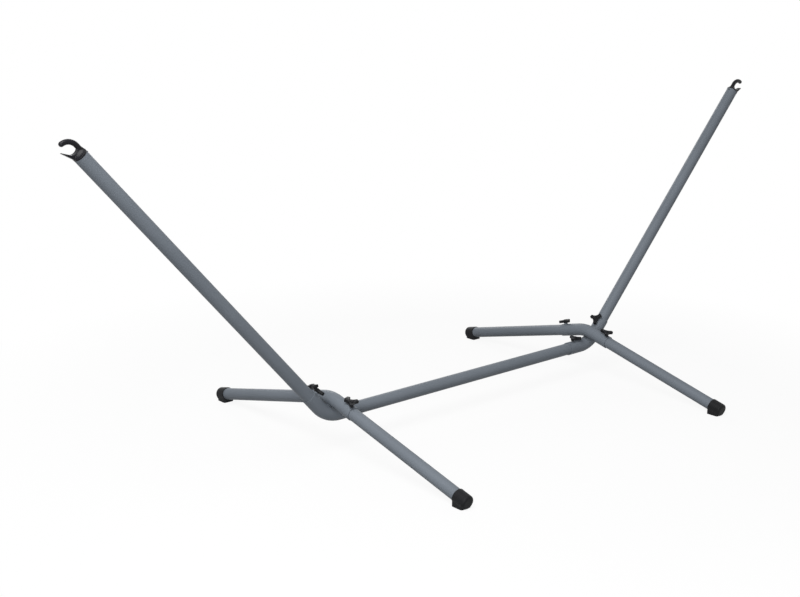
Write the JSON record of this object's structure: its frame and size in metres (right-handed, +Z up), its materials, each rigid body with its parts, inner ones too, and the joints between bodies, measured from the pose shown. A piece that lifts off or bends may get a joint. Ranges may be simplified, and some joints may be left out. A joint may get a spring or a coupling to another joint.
{
  "type": "hammock stand",
  "caption": "Free-standing hammock stand of steel tube: a straight spine, sloping uprights that end in hooks, and arched cross legs on capped feet, clamped by hand knobs.",
  "frame": {"origin": "on the floor, in the middle of the four feet", "axes": "+X along the spine towards the right-hand upright, +Y towards the back legs, +Z up"},
  "size_m": [3.384, 1.4204, 1.1969],
  "materials": {
    "painted_steel": "blue-grey powder coat, satin",
    "hook_plastic": "black moulded plastic, semi-gloss",
    "foot_plastic": "black moulded plastic, matt",
    "knob_plastic": "black moulded plastic, fine grain",
    "zinc_steel": "zinc-plated steel",
    "black_steel": "blackened steel"
  },
  "bodies": {
    "spine": {"spine_tube": "painted_steel"},
    "left_end": {"left_elbow": "painted_steel", "left_bow": "painted_steel", "left_weld": "painted_steel", "left_weld_nuts": "painted_steel"},
    "left_upright": {"left_upright": "painted_steel", "left_hook": "hook_plastic", "left_hook_screw": "black_steel"},
    "left_front_leg": {"left_front_leg": "painted_steel", "left_front_foot": "foot_plastic"},
    "left_back_leg": {"left_back_leg": "painted_steel", "left_back_foot": "foot_plastic"},
    "left_spine_stud": {"left_spine_stud": "zinc_steel"},
    "left_spine_knob": {"left_spine_knob": "knob_plastic"},
    "left_upright_stud": {"left_upright_stud": "zinc_steel"},
    "left_upright_knob": {"left_upright_knob": "knob_plastic"},
    "left_front_leg_stud": {"left_front_leg_stud": "zinc_steel"},
    "left_front_leg_knob": {"left_front_leg_knob": "knob_plastic"},
    "left_back_leg_stud": {"left_back_leg_stud": "zinc_steel"},
    "left_back_leg_knob": {"left_back_leg_knob": "knob_plastic"},
    "right_end": {"right_elbow": "painted_steel", "right_bow": "painted_steel", "right_weld": "painted_steel", "right_weld_nuts": "painted_steel"},
    "right_upright": {"right_upright": "painted_steel", "right_hook": "hook_plastic", "right_hook_screw": "black_steel"},
    "right_front_leg": {"right_front_leg": "painted_steel", "right_front_foot": "foot_plastic"},
    "right_back_leg": {"right_back_leg": "painted_steel", "right_back_foot": "foot_plastic"},
    "right_spine_stud": {"right_spine_stud": "zinc_steel"},
    "right_spine_knob": {"right_spine_knob": "knob_plastic"},
    "right_upright_stud": {"right_upright_stud": "zinc_steel"},
    "right_upright_knob": {"right_upright_knob": "knob_plastic"},
    "right_front_leg_stud": {"right_front_leg_stud": "zinc_steel"},
    "right_front_leg_knob": {"right_front_leg_knob": "knob_plastic"},
    "right_back_leg_stud": {"right_back_leg_stud": "zinc_steel"},
    "right_back_leg_knob": {"right_back_leg_knob": "knob_plastic"}
  },
  "joints": [
    {"name": "left_end_slide", "type": "slide", "parent": "spine", "child": "left_end", "axis": [-1, 0, 0], "range_m": [0, 0.05]},
    {"name": "left_upright_slide", "type": "slide", "parent": "left_end", "child": "left_upright", "axis": [-0.6685, 0, 0.7437], "range_m": [0, 0.06]},
    {"name": "left_front_leg_slide", "type": "slide", "parent": "left_end", "child": "left_front_leg", "axis": [0, -0.9709, -0.2394], "range_m": [0, 0.085]},
    {"name": "left_back_leg_slide", "type": "slide", "parent": "left_end", "child": "left_back_leg", "axis": [0, 0.9709, -0.2394], "range_m": [0, 0.085]},
    {"name": "left_spine_stud_travel", "type": "slide", "parent": "left_end", "child": "left_spine_stud", "axis": [0, 0, 1], "range_m": [0, 0.005]},
    {"name": "left_spine_knob_turn", "type": "hinge", "parent": "left_spine_stud", "child": "left_spine_knob", "pos_m": [-0.622, 0, 0.12834], "axis": [0, 0, 1], "range_deg": [0, 1440]},
    {"name": "left_upright_stud_travel", "type": "slide", "parent": "left_end", "child": "left_upright_stud", "axis": [0.7437, 0, 0.6685], "range_m": [0, 0.005]},
    {"name": "left_upright_knob_turn", "type": "hinge", "parent": "left_upright_stud", "child": "left_upright_knob", "pos_m": [-0.78105, 0, 0.20548], "axis": [0.7437, 0, 0.6685], "range_deg": [0, 1440]},
    {"name": "left_front_leg_stud_travel", "type": "slide", "parent": "left_end", "child": "left_front_leg_stud", "axis": [0, -0.2394, 0.9709], "range_m": [0, 0.005]},
    {"name": "left_front_leg_knob_turn", "type": "hinge", "parent": "left_front_leg_stud", "child": "left_front_leg_knob", "pos_m": [-0.69043, -0.10484, 0.16858], "axis": [0, -0.2394, 0.9709], "range_deg": [0, 1440]},
    {"name": "left_back_leg_stud_travel", "type": "slide", "parent": "left_end", "child": "left_back_leg_stud", "axis": [0, 0.2394, 0.9709], "range_m": [0, 0.005]},
    {"name": "left_back_leg_knob_turn", "type": "hinge", "parent": "left_back_leg_stud", "child": "left_back_leg_knob", "pos_m": [-0.69043, 0.10484, 0.16858], "axis": [0, 0.2394, 0.9709], "range_deg": [0, 1440]},
    {"name": "right_end_slide", "type": "slide", "parent": "spine", "child": "right_end", "axis": [1, 0, 0], "range_m": [0, 0.05]},
    {"name": "right_upright_slide", "type": "slide", "parent": "right_end", "child": "right_upright", "axis": [0.6685, 0, 0.7437], "range_m": [0, 0.06]},
    {"name": "right_front_leg_slide", "type": "slide", "parent": "right_end", "child": "right_front_leg", "axis": [0, -0.9709, -0.2394], "range_m": [0, 0.085]},
    {"name": "right_back_leg_slide", "type": "slide", "parent": "right_end", "child": "right_back_leg", "axis": [0, 0.9709, -0.2394], "range_m": [0, 0.085]},
    {"name": "right_spine_stud_travel", "type": "slide", "parent": "right_end", "child": "right_spine_stud", "axis": [0, 0, 1], "range_m": [0, 0.005]},
    {"name": "right_spine_knob_turn", "type": "hinge", "parent": "right_spine_stud", "child": "right_spine_knob", "pos_m": [0.622, 0, 0.12834], "axis": [0, 0, 1], "range_deg": [0, 1440]},
    {"name": "right_upright_stud_travel", "type": "slide", "parent": "right_end", "child": "right_upright_stud", "axis": [-0.7437, 0, 0.6685], "range_m": [0, 0.005]},
    {"name": "right_upright_knob_turn", "type": "hinge", "parent": "right_upright_stud", "child": "right_upright_knob", "pos_m": [0.78105, 0, 0.20548], "axis": [-0.7437, 0, 0.6685], "range_deg": [0, 1440]},
    {"name": "right_front_leg_stud_travel", "type": "slide", "parent": "right_end", "child": "right_front_leg_stud", "axis": [0, -0.2394, 0.9709], "range_m": [0, 0.005]},
    {"name": "right_front_leg_knob_turn", "type": "hinge", "parent": "right_front_leg_stud", "child": "right_front_leg_knob", "pos_m": [0.69043, -0.10484, 0.16858], "axis": [0, -0.2394, 0.9709], "range_deg": [0, 1440]},
    {"name": "right_back_leg_stud_travel", "type": "slide", "parent": "right_end", "child": "right_back_leg_stud", "axis": [0, 0.2394, 0.9709], "range_m": [0, 0.005]},
    {"name": "right_back_leg_knob_turn", "type": "hinge", "parent": "right_back_leg_stud", "child": "right_back_leg_knob", "pos_m": [0.69043, 0.10484, 0.16858], "axis": [0, 0.2394, 0.9709], "range_deg": [0, 1440]}
  ],
  "couplings": [
    {"joint": "left_spine_knob_turn", "follows": "left_spine_stud_travel", "rad_per_m": 5026.5},
    {"joint": "left_upright_knob_turn", "follows": "left_upright_stud_travel", "rad_per_m": 5026.5},
    {"joint": "left_front_leg_knob_turn", "follows": "left_front_leg_stud_travel", "rad_per_m": 5026.5},
    {"joint": "left_back_leg_knob_turn", "follows": "left_back_leg_stud_travel", "rad_per_m": 5026.5},
    {"joint": "right_spine_knob_turn", "follows": "right_spine_stud_travel", "rad_per_m": 5026.5},
    {"joint": "right_upright_knob_turn", "follows": "right_upright_stud_travel", "rad_per_m": 5026.5},
    {"joint": "right_front_leg_knob_turn", "follows": "right_front_leg_stud_travel", "rad_per_m": 5026.5},
    {"joint": "right_back_leg_knob_turn", "follows": "right_back_leg_stud_travel", "rad_per_m": 5026.5}
  ]
}
